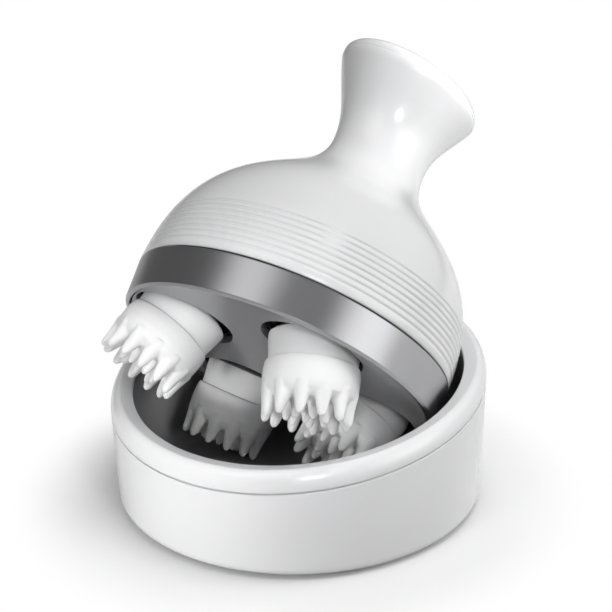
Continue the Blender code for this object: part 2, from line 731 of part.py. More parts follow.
# Heads: a shaft, a gear, a leaning neck and a soft claw cup that turn together in a bush and a seal
bush_bore = SHAFT_RADIUS + GAP
bush_flange_under = chassis_top + GAP
bush_top = bush_flange_under + BUSH_FLANGE_HEIGHT
bush_bottom = chassis_bottom - BUSH_DROP
bush_profile = [
    (bush_bore, bush_top),
    (bush_outer + BUSH_FLANGE, bush_top),
    (bush_outer + BUSH_FLANGE, bush_flange_under),
    (bush_outer, bush_flange_under),
    (bush_outer, bush_bottom),
    (bush_bore, bush_bottom),
]
shaft_bush = turned("shaft_bush", bush_profile, SMALL_SIDES)

shaft_seat = bush_top + GAP
shaft_profile = [
    (0, shaft_seat + SHAFT_HEAD_HEIGHT),
    (SHAFT_HEAD_RADIUS, shaft_seat + SHAFT_HEAD_HEIGHT),
    (SHAFT_HEAD_RADIUS, shaft_seat),
    (SHAFT_RADIUS, shaft_seat),
    (SHAFT_RADIUS, -SHAFT_REACH),
    (0, -SHAFT_REACH),
]
head_shaft = turned("head_shaft", shaft_profile, SMALL_SIDES, closed=False)
half_pitch = math.pi / HEAD_TEETH
head_gear = gear("head_gear", HEAD_TEETH, bush_bore, math.radians(45) + half_pitch)

seal_profile = [
    (seal_inner, seal_top),
    (seal_outer, seal_top),
    (seal_outer, seal_bottom),
    (seal_inner, seal_bottom),
]
head_seal = turned("head_seal", seal_profile, NECK_SIDES)

neck_spigot = NECK_RADIUS - SPIGOT_STEP
neck_spigot_bottom = -NECK_DROP - SPIGOT_LENGTH
neck_profile = [
    (0, NECK_TOP_RISE),
    (NECK_TOP_RADIUS, NECK_TOP_RISE),
    (NECK_RADIUS - NECK_SHOULDER, 0),
    (NECK_RADIUS, -NECK_SHOULDER),
    (NECK_RADIUS, NECK_EDGE - NECK_DROP),
    (NECK_RADIUS - NECK_EDGE / 2, -NECK_DROP),
    (neck_spigot, -NECK_DROP),
    (neck_spigot, neck_spigot_bottom),
    (0, neck_spigot_bottom),
]
neck_item = place("head_neck", turned("head_neck", neck_profile, NECK_SIDES, closed=False), NECK_WHITE)
neck_bore_bottom = -SHAFT_REACH - GAP - HEAD_PIVOT_HEIGHT
neck_bore = rod("neck_bore", bush_bore, neck_bore_bottom, NECK_TOP_RISE + CUTTER_OVERRUN, SMALL_SIDES)
bore_item = place("neck_bore", neck_bore, None, turn=(0, HEAD_TILT, 0), collection=cutters)
combine(neck_item, bore_item, "DIFFERENCE")
head_neck = smooth(baked(neck_item))

cup_top = -NECK_DROP - GAP
cup_bottom = cup_top - CUP_DEPTH
recess_radius = neck_spigot + GAP
recess_bottom = cup_top - SPIGOT_LENGTH
cup_profile = [
    (0, recess_bottom),
    (recess_radius, recess_bottom),
    (recess_radius, cup_top),
    (NECK_RADIUS, cup_top),
    (cup_radius, cup_top - CUP_STEP),
    (cup_radius - CUP_DRAFT, cup_bottom),
    (cup_radius - CUP_EDGE, cup_bottom - CUP_EDGE / 2),
    (0, cup_bottom - CUP_EDGE / 2),
]


def tine(name, radius):
    """A tapered finger with a rounded end, hanging down from the cup."""
    root = cup_bottom + TINE_ROOT
    profile = [
        (0, root),
        (radius, root),
        (TINE_TIP_RADIUS, TINE_TIP_LENGTH - TINE_DROP),
        (TINE_TIP_RADIUS - TINE_TIP_ROUND, -TINE_DROP),
        (0, -TINE_DROP),
    ]
    return turned(name, profile, TINE_SIDES, closed=False)


def around(count, radius):
    """Matrices for copies spread evenly round a circle, each turned to face outwards."""
    places = []
    for i in range(count):
        spin = Matrix.Rotation(2 * math.pi * (i + 0.5) / count, 4, "Z")
        places.append(spin @ at(radius, 0))
    return places


outer_tine = tine("outer_tine", OUTER_TINE_RADIUS)
inner_tine = tine("inner_tine", INNER_TINE_RADIUS)
fingers = [(outer_tine, matrix) for matrix in around(OUTER_TINES, outer_tine_circle)]
fingers += [(inner_tine, matrix) for matrix in around(INNER_TINES, outer_tine_circle - TINE_ROW_PITCH)]
fingers.append((inner_tine, Matrix.Identity(4)))
cup_item = place("claw_cup", turned("claw_cup", cup_profile, OUTER_TINES * 2, closed=False), SILICONE)
finger_item = place("fingers", joined("fingers", fingers), None, collection=cutters)
combine(cup_item, finger_item, "UNION")
claw_cup = smooth(baked(cup_item))

for name, (x, y) in head_places.items():
    lean_way = math.radians(HEADS[name][2])
    head_axis = frame(f"head_axis_{name}", massager, (x, y, 0))
    head_lean = frame(f"head_lean_{name}", head_axis, (0, 0, HEAD_PIVOT_HEIGHT), (0, -HEAD_TILT, lean_way))
    place(f"head_shaft_{name}", head_shaft, STEEL, head_axis)
    place(f"head_gear_{name}", head_gear, ACETAL, head_axis)
    place(f"head_neck_{name}", head_neck, NECK_WHITE, head_lean)
    place(f"claw_cup_{name}", claw_cup, SILICONE, head_lean)
    place(f"shaft_bush_{name}", shaft_bush, BRONZE, massager, (x, y, 0))
    place(f"head_seal_{name}", head_seal, RUBBER, massager, (x, y, 0))

# Battery: in a cup-shaped cradle on the motor's end
cradle_inner = BATTERY_RADIUS + GAP
cradle_outer = cradle_inner + CRADLE_WALL
cradle_top = cradle_bottom + CRADLE_HEIGHT
cradle_profile = [
    (0, cradle_floor),
    (cradle_inner, cradle_floor),
    (cradle_inner, cradle_top),
    (cradle_outer, cradle_top),
    (cradle_outer, cradle_bottom),
    (0, cradle_bottom),
]
battery_place = (BATTERY_OFFSET, 0, 0)
cradle = turned("battery_cradle", cradle_profile, NECK_SIDES, closed=False)
place("battery_cradle", cradle, GREY_PLASTIC, massager, battery_place)
battery = rod("battery", BATTERY_RADIUS, battery_bottom, battery_top, NECK_SIDES)
place("battery", battery, BATTERY_BLUE, massager, battery_place)

# Handle cap: closes the handle, guides the button and carries the circuit board on two posts
cap_top = cap_bottom + CAP_THICKNESS
flare_radius, flare_start = handle_curve[-2]
low_side = 1 + HANDLE_RADIUS * handle_slope / (HANDLE_HEIGHT - WAIST_HEIGHT)
flare_slope = math.atan2(HANDLE_RADIUS - flare_radius, (flare_height - flare_start) * low_side)
spigot_bore = HANDLE_RADIUS - CAP_SPIGOT_DEPTH * math.tan(flare_slope) - DOME_WALL / math.cos(flare_slope)
cap_spigot = spigot_bore - GAP
button_hole = BUTTON_RADIUS + GAP
cap_profile = [(button_hole, cap_top)]
cap_profile += arc((HANDLE_RADIUS - CAP_EDGE, cap_bottom + CAP_EDGE_LAND), CAP_EDGE,
                   CAP_THICKNESS - CAP_EDGE_LAND, 90, 0, 3)
cap_profile += [
    (HANDLE_RADIUS, cap_bottom),
    (cap_spigot, cap_bottom),
    (cap_spigot, cap_bottom - CAP_SPIGOT_DEPTH),
    (cap_spigot - CAP_SPIGOT_WALL, cap_bottom - CAP_SPIGOT_DEPTH),
    (cap_spigot - CAP_SPIGOT_WALL, cap_bottom),
    (button_hole, cap_bottom),
]
cap_mesh = slanted(turned("handle_cap", cap_profile, CAP_SIDES), 0.0, 0.0, handle_slope, 0)
cap = place("handle_cap", cap_mesh, WHITE_GLOSS, massager, handle_place)
post_spacing = BUTTON_RADIUS + BUTTON_FLANGE + RUNNING_GAP + POST_RADIUS
post_places = [(post_spacing, 0), (-post_spacing, 0)]
post_top = cap_bottom + CAP_THICKNESS / 2
post = rod("post", POST_RADIUS, fitting_bottom, post_top, SMALL_SIDES)
posts = joined("posts", [(post, at(x, y)) for x, y in post_places])
posts = slanted(posts, fitting_bottom, post_top, handle_slope, 0)
combine(cap, place("posts", posts, None, massager, handle_place, collection=cutters), "UNION")
board_screw_seat = board_bottom - GAP
board_screw_tip = board_screw_seat + BOARD_SCREW_LENGTH
post_bore = rod("post_bore", BOARD_SCREW_RADIUS + GAP, board_bottom - CUTTER_OVERRUN, board_screw_tip + GAP,
                SMALL_SIDES)
post_bores = joined("post_bores", [(post_bore, at(x, y)) for x, y in post_places])
bores = place("post_bores", post_bores, None, massager, handle_place, collection=cutters)
combine(cap, bores, "DIFFERENCE")

# Circuit board with the switch under the button and the charging socket at the back
board_radius = post_spacing + POST_RADIUS + BOARD_MARGIN
board_mesh = rod("circuit_board", board_radius, board_bottom, board_top, NECK_SIDES)
board = place("circuit_board", board_mesh, BOARD_GREEN, massager, handle_place)
combine(board, bores, "DIFFERENCE")
board_screw = screw("board_screw", BOARD_SCREW_RADIUS, BOARD_SCREW_HEAD_RADIUS, board_screw_seat,
                    BOARD_SCREW_HEAD_HEIGHT, BOARD_SCREW_LENGTH, up=-1)
for number, (x, y) in enumerate(post_places, 1):
    spot = (HANDLE_OFFSET + x, y, 0)
    place(f"board_screw_{number}", board_screw, STEEL, massager, spot)
switch_top = fitting_bottom + SWITCH_HEIGHT
switch_size = (SWITCH_SIDE, SWITCH_SIDE, SWITCH_HEIGHT)
switch_centre = (HANDLE_OFFSET, 0, fitting_bottom + SWITCH_HEIGHT / 2)
place("tact_switch", block("tact_switch", switch_size, switch_centre), GREY_PLASTIC, massager)
socket_size = (SOCKET_WIDTH, socket_length, SOCKET_HEIGHT)
socket_centre = (HANDLE_OFFSET, socket_centre_y, socket_middle)
socket = place("charge_socket", block("charge_socket", socket_size, socket_centre), GREY_PLASTIC, massager)
slot_size = (SOCKET_SLOT_WIDTH, 2 * SOCKET_SLOT_DEPTH, SOCKET_SLOT_HEIGHT)
slot_centre = (HANDLE_OFFSET, socket_centre_y + socket_length / 2, socket_middle)
slot_mesh = block("socket_slot", slot_size, slot_centre)
slot = place("socket_slot", slot_mesh, None, massager, collection=cutters)
combine(socket, slot, "DIFFERENCE")

# Power button: a stem, a flange that holds it under the cap, and a crowned face
button_axis = frame("button_axis", massager, handle_place)
flange_height = cap_bottom - GAP
flange_bottom = flange_height - BUTTON_FLANGE_HEIGHT
button_bottom = switch_top + BUTTON_TRAVEL + GAP
button_profile = [
    (0, cap_top + BUTTON_CROWN),
    (BUTTON_RADIUS - BUTTON_EDGE, cap_top + BUTTON_CROWN / 2),
    (BUTTON_RADIUS, cap_top - GAP),
    (BUTTON_RADIUS, flange_height),
    (BUTTON_RADIUS + BUTTON_FLANGE, flange_height),
    (BUTTON_RADIUS + BUTTON_FLANGE, flange_bottom),
    (BUTTON_STEM_RADIUS, flange_bottom),
    (BUTTON_STEM_RADIUS, button_bottom),
    (0, button_bottom),
]
power_button = turned("power_button", button_profile, NECK_SIDES, closed=False)
power_button = slanted(power_button, button_bottom, flange_bottom, handle_slope, 0)
place("power_button", power_button, SATIN_SILVER, button_axis)
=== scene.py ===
import math

import bpy
from mathutils import Euler, Matrix, Vector


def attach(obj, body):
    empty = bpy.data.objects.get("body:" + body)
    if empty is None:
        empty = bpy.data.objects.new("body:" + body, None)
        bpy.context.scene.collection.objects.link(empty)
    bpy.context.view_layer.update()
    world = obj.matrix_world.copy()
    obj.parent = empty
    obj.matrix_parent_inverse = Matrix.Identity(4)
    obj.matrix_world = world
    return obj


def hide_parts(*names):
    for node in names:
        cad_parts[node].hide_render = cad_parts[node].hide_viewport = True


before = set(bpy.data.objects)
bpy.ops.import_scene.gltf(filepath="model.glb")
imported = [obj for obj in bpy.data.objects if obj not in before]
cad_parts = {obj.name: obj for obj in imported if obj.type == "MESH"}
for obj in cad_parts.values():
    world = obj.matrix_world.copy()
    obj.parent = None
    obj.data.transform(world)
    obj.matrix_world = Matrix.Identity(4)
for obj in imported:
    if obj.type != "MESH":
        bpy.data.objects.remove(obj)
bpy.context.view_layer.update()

# Stand shell
# The white outer wall of the stand, moulded in glossy plastic with a slight draft and a rounded foot.
# Its top edge slants up to the back, and an inward flange at the foot carries the bowl.
stand_sides = 144
stand_radius = 0.05799
shell_top = 0.03538
foot_round_top = 0.0039
slant_up_to_the_back = math.tan(math.radians(8.2))
shell_outline = [
    (stand_radius, shell_top),
    (0.05711, foot_round_top),
    (0.05684, 0.00256),
    (0.05608, 0.00143),
    (0.05495, 0.00067),
    (0.05361, 0.0004),
    (0.04661, 0.0004),
    (0.04661, 0.0024),
    (0.05361, 0.0024),
    (0.05481, foot_round_top),
    (0.0557, shell_top),
    (stand_radius, shell_top),
]


def turned_piece(name, outline, sides, fill_type="NOTHING"):
    """A round piece: a ring of points, drawn out to each next radius and height of its outline."""
    merge_distance = 0.000005
    bpy.ops.object.select_all(action="DESELECT")
    radius, height = outline[0]
    bpy.ops.mesh.primitive_circle_add(vertices=sides, radius=radius, fill_type=fill_type)
    piece = bpy.context.object
    piece.name = name
    bpy.ops.object.mode_set(mode="EDIT")
    bpy.ops.transform.translate(value=(0, 0, height))
    for next_radius, next_height in outline[1:]:
        rise = next_height - height
        growth = next_radius / radius
        bpy.ops.mesh.extrude_region_move(TRANSFORM_OT_translate={"value": (0, 0, rise)})
        bpy.ops.transform.resize(value=(growth, growth, 1), center_override=(0, 0, next_height))
        radius, height = next_radius, next_height
    bpy.ops.mesh.select_all(action="SELECT")
    bpy.ops.mesh.remove_doubles(threshold=merge_distance)
    bpy.ops.mesh.normals_make_consistent(inside=False)
    bpy.ops.object.mode_set(mode="OBJECT")
    return piece


def share_between(value, low, high):
    """How far a value has come from low to high, held between 0 and 1."""
    return min(max((value - low) / (high - low), 0), 1)


def soften_edges(piece, width, segments=2, angle=35):
    """A small round on every edge past the angle, then smooth shading that keeps flat faces flat."""
    smooth_angle = math.radians(30)
    bpy.ops.object.select_all(action="DESELECT")
    piece.select_set(True)
    bpy.context.view_layer.objects.active = piece
    edge_round = piece.modifiers.new("edge_round", "BEVEL")
    edge_round.width = width
    edge_round.segments = segments
    edge_round.limit_method = "ANGLE"
    edge_round.angle_limit = math.radians(angle)
    bpy.ops.object.modifier_apply(modifier="edge_round")
    bpy.ops.object.shade_smooth_by_angle(angle=smooth_angle)
    even_shading = piece.modifiers.new("even_shading", "WEIGHTED_NORMAL")
    even_shading.keep_sharp = True
    bpy.ops.object.modifier_apply(modifier="even_shading")


def moulded_finish(
    name, colour, roughness, drift, grain, relief, coat=0.0, coat_roughness=0.03, metal=0.0
):
    """A moulded surface: a faint mottle in its colour, a drift in its gloss and a fine grain in its skin."""
    finish = bpy.data.materials.new(name)
    finish.use_nodes = True
    nodes = finish.node_tree.nodes
    links = finish.node_tree.links
    shader = nodes["Principled BSDF"]
    shader.inputs["Metallic"].default_value = metal
    shader.inputs["Coat Weight"].default_value = coat
    shader.inputs["Coat Roughness"].default_value = coat_roughness
    place = nodes.new("ShaderNodeTexCoord")
    place.name = "place"
    mottle = nodes.new("ShaderNodeTexNoise")
    mottle.inputs["Scale"].default_value = 38.0
    mottle.inputs["Detail"].default_value = 3.0
    tone = nodes.new("ShaderNodeValToRGB")
    dark_tone, light_tone = tone.color_ramp.elements
    dark_tone.position = 0.3
    dark_tone.color = [*(channel * (1 - drift / 2) for channel in colour), 1]
    light_tone.position = 0.7
    light_tone.color = [*(min(channel * (1 + drift / 2), 1) for channel in colour), 1]
    sheen = nodes.new("ShaderNodeMapRange")
    sheen.inputs["To Min"].default_value = roughness * 0.85
    sheen.inputs["To Max"].default_value = roughness * 1.2
    skin = nodes.new("ShaderNodeTexNoise")
    skin.name = "skin"
    skin.inputs["Scale"].default_value = grain
    skin.inputs["Detail"].default_value = 2.0
    bump = nodes.new("ShaderNodeBump")
    bump.name = "relief"
    bump.inputs["Strength"].default_value = relief
    bump.inputs["Distance"].default_value = 0.0003
    links.new(place.outputs["Object"], mottle.inputs["Vector"])
    links.new(place.outputs["Object"], skin.inputs["Vector"])
    links.new(mottle.outputs["Fac"], tone.inputs["Fac"])
    links.new(tone.outputs["Color"], shader.inputs["Base Color"])
    links.new(mottle.outputs["Fac"], sheen.inputs["Value"])
    links.new(sheen.outputs["Result"], shader.inputs["Roughness"])
    links.new(skin.outputs["Fac"], bump.inputs["Height"])
    links.new(bump.outputs["Normal"], shader.inputs["Normal"])
    return finish


gloss_white = moulded_finish(
    "gloss_white",
    colour=(0.86, 0.862, 0.87),
    roughness=0.2,
    drift=0.012,
    grain=420,
    relief=0.012,
    coat=0.8,
    coat_roughness=0.08,
)
stand_wall = turned_piece("stand_wall", shell_outline, stand_sides)
for point in stand_wall.data.vertices:
    share = share_between(point.co.z, foot_round_top, shell_top)
    point.co.z += share * slant_up_to_the_back * point.co.y
soften_edges(stand_wall, width=0.00016, segments=3)
stand_wall.data.materials.append(gloss_white)
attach(stand_wall, "stand")
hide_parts("stand_shell")

# Foot
# A flat disc under the bowl, cut from black rubber sheet and stuck in the flange's opening.
# It keeps the stand from sliding. Its CAD shape is right, so it only gets its finish here.
foot_rubber = moulded_finish(
    "foot_rubber", colour=(0.022, 0.022, 0.023), roughness=0.75, drift=0.3, grain=1500, relief=0.3
)
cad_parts["foot_pad"].data.materials.clear()
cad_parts["foot_pad"].data.materials.append(foot_rubber)

# Bowl
# A smooth dark grey liner, moulded in glossy plastic, that drops into the shell and lies on its flange.
# Its wall leans out a little and its lip follows the slant of the rim.
# The first and last ring of its outline are so small that they close to one point.
closed_ring = 0.000001
bowl_floor = 0.0026
bowl_foot = 0.0011
corner_reach = 0.0435
corner_top = 0.0110
wall_radius = 0.0484
wall_lean = 0.0029
wall_height = 0.02795
wall_steps = 6
lip_foot = 0.03725


def arc_points(middle, across, up, start, end, steps):
    """Points along part of an oval, from the angle where it starts to the angle where it ends."""
    points = []
    for step in range(steps + 1):
        turn = math.radians(start + (end - start) * step / steps)
        points.append((middle[0] + across * math.cos(turn), middle[1] + up * math.sin(turn)))
    return points


bowl_outline = [(closed_ring, bowl_floor), (0.02, bowl_floor)]
bowl_outline += arc_points((corner_reach, corner_top), across=0.0049, up=0.0084, start=-90, end=0, steps=8)
for step in range(1, wall_steps + 1):
    share = step / wall_steps
    bowl_outline.append((wall_radius + wall_lean * share, corner_top + wall_height * share))
bowl_outline += [
    (0.0532, 0.03895),
    (0.0532, lip_foot),
    (0.0531, lip_foot),
    (0.0502, corner_top),
    (0.0484, 0.0042),
    (0.0463, 0.0027),
    (0.0463, bowl_foot),
    (closed_ring, bowl_foot),
]
bowl = turned_piece("bowl_liner", bowl_outline, stand_sides)
for point in bowl.data.vertices:
    share = share_between(point.co.z, corner_top, lip_foot)
    point.co.z += share * slant_up_to_the_back * point.co.y
soften_edges(bowl, width=0.0002, angle=50)
smoke_grey = moulded_finish(
    "smoke_grey",
    colour=(0.36, 0.36, 0.366),
    roughness=0.24,
    drift=0.05,
    grain=500,
    relief=0.02,
    coat=0.5,
    coat_roughness=0.12,
)
bowl.data.materials.append(smoke_grey)
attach(bowl, "stand")
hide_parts("stand_bowl")

# Rim
# A white gloss collar that plugs into the shell and holds the bowl's lip down.
# Its top is a flat band painted light grey as shade on the white plastic, and its outside is a full round
# that meets the shell at a fine seam.
rim_inside = 0.0511
rim_foot = 0.03215
lip_clearance = 0.03925
seam_top = 0.03595
band_foot = 0.0398
band_edge = 0.0544
rim_outline = [(rim_inside, lip_clearance), (rim_inside, 0.0402), (0.05128, 0.04048), (0.0516, 0.04062)]
rim_outline += [(0.0542, 0.0413), (0.05445, 0.04142)]
rim_outline += arc_points((0.0546, 0.03695), across=0.00339, up=0.00465, start=82, end=0, steps=10)
rim_outline += [
    (stand_radius, seam_top),
    (0.0554, seam_top),
    (0.0554, rim_foot),
    (0.0535, rim_foot),
    (0.0535, lip_clearance),
    (rim_inside, lip_clearance),
]
rim = turned_piece("rim_collar", rim_outline, stand_sides)
soften_edges(rim, width=0.00016, segments=3, angle=40)
# The flat top band gets a greyer copy of the white plastic: this grey is painted shade.
band_painted_shade = moulded_finish(
    "band_painted_shade", colour=(0.78, 0.782, 0.79), roughness=0.3, drift=0.015, grain=600, relief=0.02
)
rim.data.materials.append(gloss_white)
rim.data.materials.append(band_painted_shade)
for face in rim.data.polygons:
    reach = math.hypot(face.center.x, face.center.y)
    if face.center.z > band_foot and reach < band_edge:
        face.material_index = 1
for point in rim.data.vertices:
    point.co.z += slant_up_to_the_back * point.co.y
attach(rim, "stand")
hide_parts("stand_rim")

# Trim ring
# A satin silver ring, spun from aluminium and brushed round its outside.
# It clamps the dome to the underside, and a narrow chamfer is cut on its lower edge.
ring_sides = 160
ring_inside = 0.0483
ring_top = 0.0124
ring_centre = Vector((-0.0005, -0.011286783, 0.045350867))
lean_angle = math.radians(47)
lean = Matrix.Rotation(-lean_angle, 4, "X")
casing_place = Matrix.Translation(ring_centre) @ lean
ring_outline = [
    (ring_inside, ring_top),
    (0.0506, ring_top),
    (0.05085, 0.0122),
    (0.05088, 0.0119),
    (0.0504, 0.0060),
    (0.05005, 0.0008),
    (0.0493, 0.0),
    (0.0486, 0.0),
    (ring_inside, 0.0003),
    (ring_inside, ring_top),
]


def set_in_casing(piece, place=Matrix.Identity(4)):
    """Moves a piece that was drawn upright to its place in the leaning massager, kept in its mesh."""
    bpy.ops.object.select_all(action="DESELECT")
    piece.select_set(True)
    bpy.context.view_layer.objects.active = piece
    piece.matrix_world = casing_place @ place
    bpy.ops.object.transform_apply(location=True, rotation=True, scale=True)


def brushed_finish(name, colour, roughness, lines, depth, metal):
    """Metal with a drift of tone, whose fine grain is drawn out along the leaning casing."""
    finish = moulded_finish(name, colour, roughness, drift=0.06, grain=1.0, relief=depth, metal=metal)
    nodes = finish.node_tree.nodes
    links = finish.node_tree.links
    upright = nodes.new("ShaderNodeMapping")
    upright.inputs["Rotation"].default_value = (lean_angle, 0, 0)
    upright.inputs["Location"].default_value = -(lean.to_3x3().inverted() @ ring_centre)
    stretch = nodes.new("ShaderNodeMapping")
    stretch.inputs["Scale"].default_value = lines
    strokes = nodes["skin"]
    strokes.inputs["Detail"].default_value = 4.0
    nodes["relief"].inputs["Distance"].default_value = 0.0002
    links.new(nodes["place"].outputs["Object"], upright.inputs["Vector"])
    links.new(upright.outputs["Vector"], stretch.inputs["Vector"])
    links.new(stretch.outputs["Vector"], strokes.inputs["Vector"])
    return finish


satin_silver = brushed_finish(
    "satin_silver", colour=(0.43, 0.43, 0.445), roughness=0.3, lines=(12, 12, 2600), depth=0.18, metal=1.0
)
ring = turned_piece("silver_ring", ring_outline, ring_sides)
soften_edges(ring, width=0.00012, angle=25)
set_in_casing(ring)
ring.data.materials.append(satin_silver)
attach(ring, "massager")
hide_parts("trim_ring")

# Underside
# A round plate inside the ring, lacquered metallic grey, with one round opening for each turning head.
# Four pillars on its back take the screws of the chassis.
plate_sides = 144
plate_radius = 0.0480
plate_back = 0.0031
plate_front = 0.0006
opening_sides = 96
opening_radius = 0.01572
cutter_length = 0.012
cutter_middle = 0.002
pillar_sides = 24
pillar_circle = 0.04015
pillar_radius = 0.0035
pillar_length = 0.0134
pillar_middle = 0.00865
underside_outline = [
    (closed_ring, plate_back),
    (plate_radius, plate_back),
    (plate_radius, plate_front),
    (closed_ring, plate_front),
]
# Each head's place on the plate, and the way it tips, in degrees
head_offset = 0.031751928 / math.sqrt(2)
head_spots = {
    "front_left": (-head_offset, -head_offset, 205),
    "front_right": (head_offset, -head_offset, 30),
    "back_left": (-head_offset, head_offset, 120),
    "back_right": (head_offset, head_offset, 260),
}
# Each flat side becomes one face before it is cut, so that the openings have clean edges
flat_angle = math.radians(0.5)
underside = turned_piece("underside", underside_outline, plate_sides)
bpy.ops.object.mode_set(mode="EDIT")
bpy.ops.mesh.select_all(action="SELECT")
bpy.ops.mesh.dissolve_limited(angle_limit=flat_angle)
bpy.ops.object.mode_set(mode="OBJECT")


def cut_away(piece, tool, operation="DIFFERENCE"):
    """Cuts a tool out of a piece, or joins it on, and throws the tool away."""
    bpy.ops.object.select_all(action="DESELECT")
    piece.select_set(True)
    bpy.context.view_layer.objects.active = piece
    cut = piece.modifiers.new("cut", "BOOLEAN")
    cut.operation = operation
    cut.solver = "EXACT"
    cut.object = tool
    bpy.ops.object.modifier_apply(modifier="cut")
    bpy.data.objects.remove(tool, do_unlink=True)


for x, y, _ in head_spots.values():
    bpy.ops.object.select_all(action="DESELECT")
    bpy.ops.mesh.primitive_cylinder_add(
        vertices=opening_sides, radius=opening_radius, depth=cutter_length, location=(x, y, cutter_middle)
    )
    cut_away(underside, bpy.context.object)
for x, y in ((pillar_circle, 0), (0, pillar_circle), (-pillar_circle, 0), (0, -pillar_circle)):
    bpy.ops.object.select_all(action="DESELECT")
    bpy.ops.mesh.primitive_cylinder_add(
        vertices=pillar_sides, radius=pillar_radius, depth=pillar_length, location=(x, y, pillar_middle)
    )
    cut_away(underside, bpy.context.object, "UNION")
soften_edges(underside, width=0.0002, angle=50)
set_in_casing(underside)
metal_lacquer = brushed_finish(
    "metal_lacquer", colour=(0.42, 0.42, 0.43), roughness=0.4, lines=(60, 60, 60), depth=0.05, metal=0.3
)
underside.data.materials.append(metal_lacquer)
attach(underside, "massager")
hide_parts("underside_plate")

# Necks
# Each head has a short round stub of satin white plastic, pressed on its shaft at a slant.
# It nearly fills its opening in the underside, so only a dark crescent shows round it.
head_sides = 96
head_slant = math.radians(16)
head_pivot = 0.004
neck_outline = [(closed_ring, 0.0025), (0.0060, 0.0025), (0.0100, 0.0015), (0.0128, 0.0003)]
neck_outline += [(0.0135, -0.0003), (0.0136, -0.0008), (0.01352, -0.0026), (0.0133, -0.0045)]
neck_outline += [(0.01305, -0.0065), (0.01292, -0.0083), (0.0129, -0.0085), (0.0093, -0.0085)]
neck_outline += [(0.0093, -0.0122), (closed_ring, -0.0122)]
satin_white = moulded_finish(
    "satin_white", colour=(0.84, 0.84, 0.845), roughness=0.34, drift=0.015, grain=800, relief=0.04
)
neck_model = turned_piece("neck_model", neck_outline, head_sides)
soften_edges(neck_model, width=0.00006, angle=40)
neck_model.data.materials.append(satin_white)


def head_place(x, y, way):
    """Where a head sits in the upright casing: over its opening and tipped to one side."""
    tip = Euler((0, -head_slant, math.radians(way))).to_matrix().to_4x4()
    return Matrix.Translation((x, y, head_pivot)) @ tip


for name, spot in head_spots.items():
    neck = bpy.data.objects.new("neck_" + name, neck_model.data.copy())
    bpy.context.scene.collection.objects.link(neck)
    set_in_casing(neck, head_place(*spot))
    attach(neck, "head_" + name)
    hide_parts("head_neck_" + name)
bpy.data.objects.remove(neck_model, do_unlink=True)

# Claw cups
# Each claw is one soft white silicone moulding: a cup whose deep wall runs out into twelve fat fingers,
# with a ring of slimmer fingers and one more inside them. It is pushed over the neck's spigot.
finger_sides = 20
voxel_size = 0.00026
cup_outline = [(closed_ring, -0.0125), (0.0096, -0.0125), (0.0096, -0.0084), (0.0131, -0.0084)]
cup_outline += [(0.0136, -0.0087), (0.0138, -0.0093), (0.0140, -0.0112), (0.0140, -0.0142)]
cup_outline += [(0.0138, -0.0162), (0.0134, -0.0178), (0.0125, -0.0189), (0.0112, -0.0197)]
cup_outline += [(0.0095, -0.0201), (closed_ring, -0.0201)]
claw_model = turned_piece("claw_model", cup_outline, head_sides)


def finger(root_radius, tip_radius, root, tip, lean_out):
    """One tapered finger with a round end, drawn down from its root and leaning out a little at its tip."""
    length = tip - root
    outline = [(root_radius, root)]
    for share in (0.25, 0.5, 0.7, 0.86):
        outline.append((root_radius + (tip_radius - root_radius) * share, root + length * share))
    for share, roundness in ((0.93, 0.95), (0.97, 0.75), (1.0, 0.35)):
        outline.append((tip_radius * roundness, root + length * share))
    made = turned_piece("finger", outline, finger_sides, fill_type="NGON")
    for point in made.data.vertices:
        share = (point.co.z - root) / length
        point.co.x += lean_out * share * share
    return made


outer_finger = finger(root_radius=0.0031, tip_radius=0.0011, root=-0.0160, tip=-0.0255, lean_out=0.0010)
inner_finger = finger(root_radius=0.0026, tip_radius=0.0009, root=-0.0180, tip=-0.0252, lean_out=0.0003)
# Which finger stands in each ring, how many there are, and the ring's radius
finger_rings = ((outer_finger, 12, 0.0111), (inner_finger, 7, 0.0056), (inner_finger, 1, 0.0))
fingers = []
for model, count, circle in finger_rings:
    for number in range(count):
        copy = bpy.data.objects.new("finger", model.data.copy())
        bpy.context.scene.collection.objects.link(copy)
        turn = Matrix.Rotation(2 * math.pi * (number + 0.5) / count, 4, "Z")
        copy.matrix_world = turn @ Matrix.Translation((circle, 0, 0))
        fingers.append(copy)
bpy.data.objects.remove(outer_finger, do_unlink=True)
bpy.data.objects.remove(inner_finger, do_unlink=True)
bpy.ops.object.select_all(action="DESELECT")
for copy in fingers:
    copy.select_set(True)
claw_model.select_set(True)
bpy.context.view_layer.objects.active = claw_model
bpy.ops.object.join()
fuse = claw_model.modifiers.new("fuse", "REMESH")
fuse.mode = "VOXEL"
fuse.voxel_size = voxel_size
fuse.use_smooth_shade = True
bpy.ops.object.modifier_apply(modifier="fuse")
relax = claw_model.modifiers.new("relax", "SMOOTH")
relax.factor = 0.5
relax.iterations = 10
bpy.ops.object.modifier_apply(modifier="relax")
soft_silicone = moulded_finish(
    "soft_silicone", colour=(0.86, 0.86, 0.862), roughness=0.46, drift=0.02, grain=1100, relief=0.06
)
silicone_shader = soft_silicone.node_tree.nodes["Principled BSDF"]
silicone_shader.inputs["Subsurface Weight"].default_value = 0.2
silicone_shader.inputs["Subsurface Radius"].default_value = (1.0, 0.95, 0.9)
silicone_shader.inputs["Subsurface Scale"].default_value = 0.0015
claw_model.data.materials.clear()
claw_model.data.materials.append(soft_silicone)
for name, spot in head_spots.items():
    claw = bpy.data.objects.new("claw_" + name, claw_model.data.copy())
    bpy.context.scene.collection.objects.link(claw)
    set_in_casing(claw, head_place(*spot))
    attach(claw, "head_" + name)
    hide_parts("claw_cup_" + name)
bpy.data.objects.remove(claw_model, do_unlink=True)

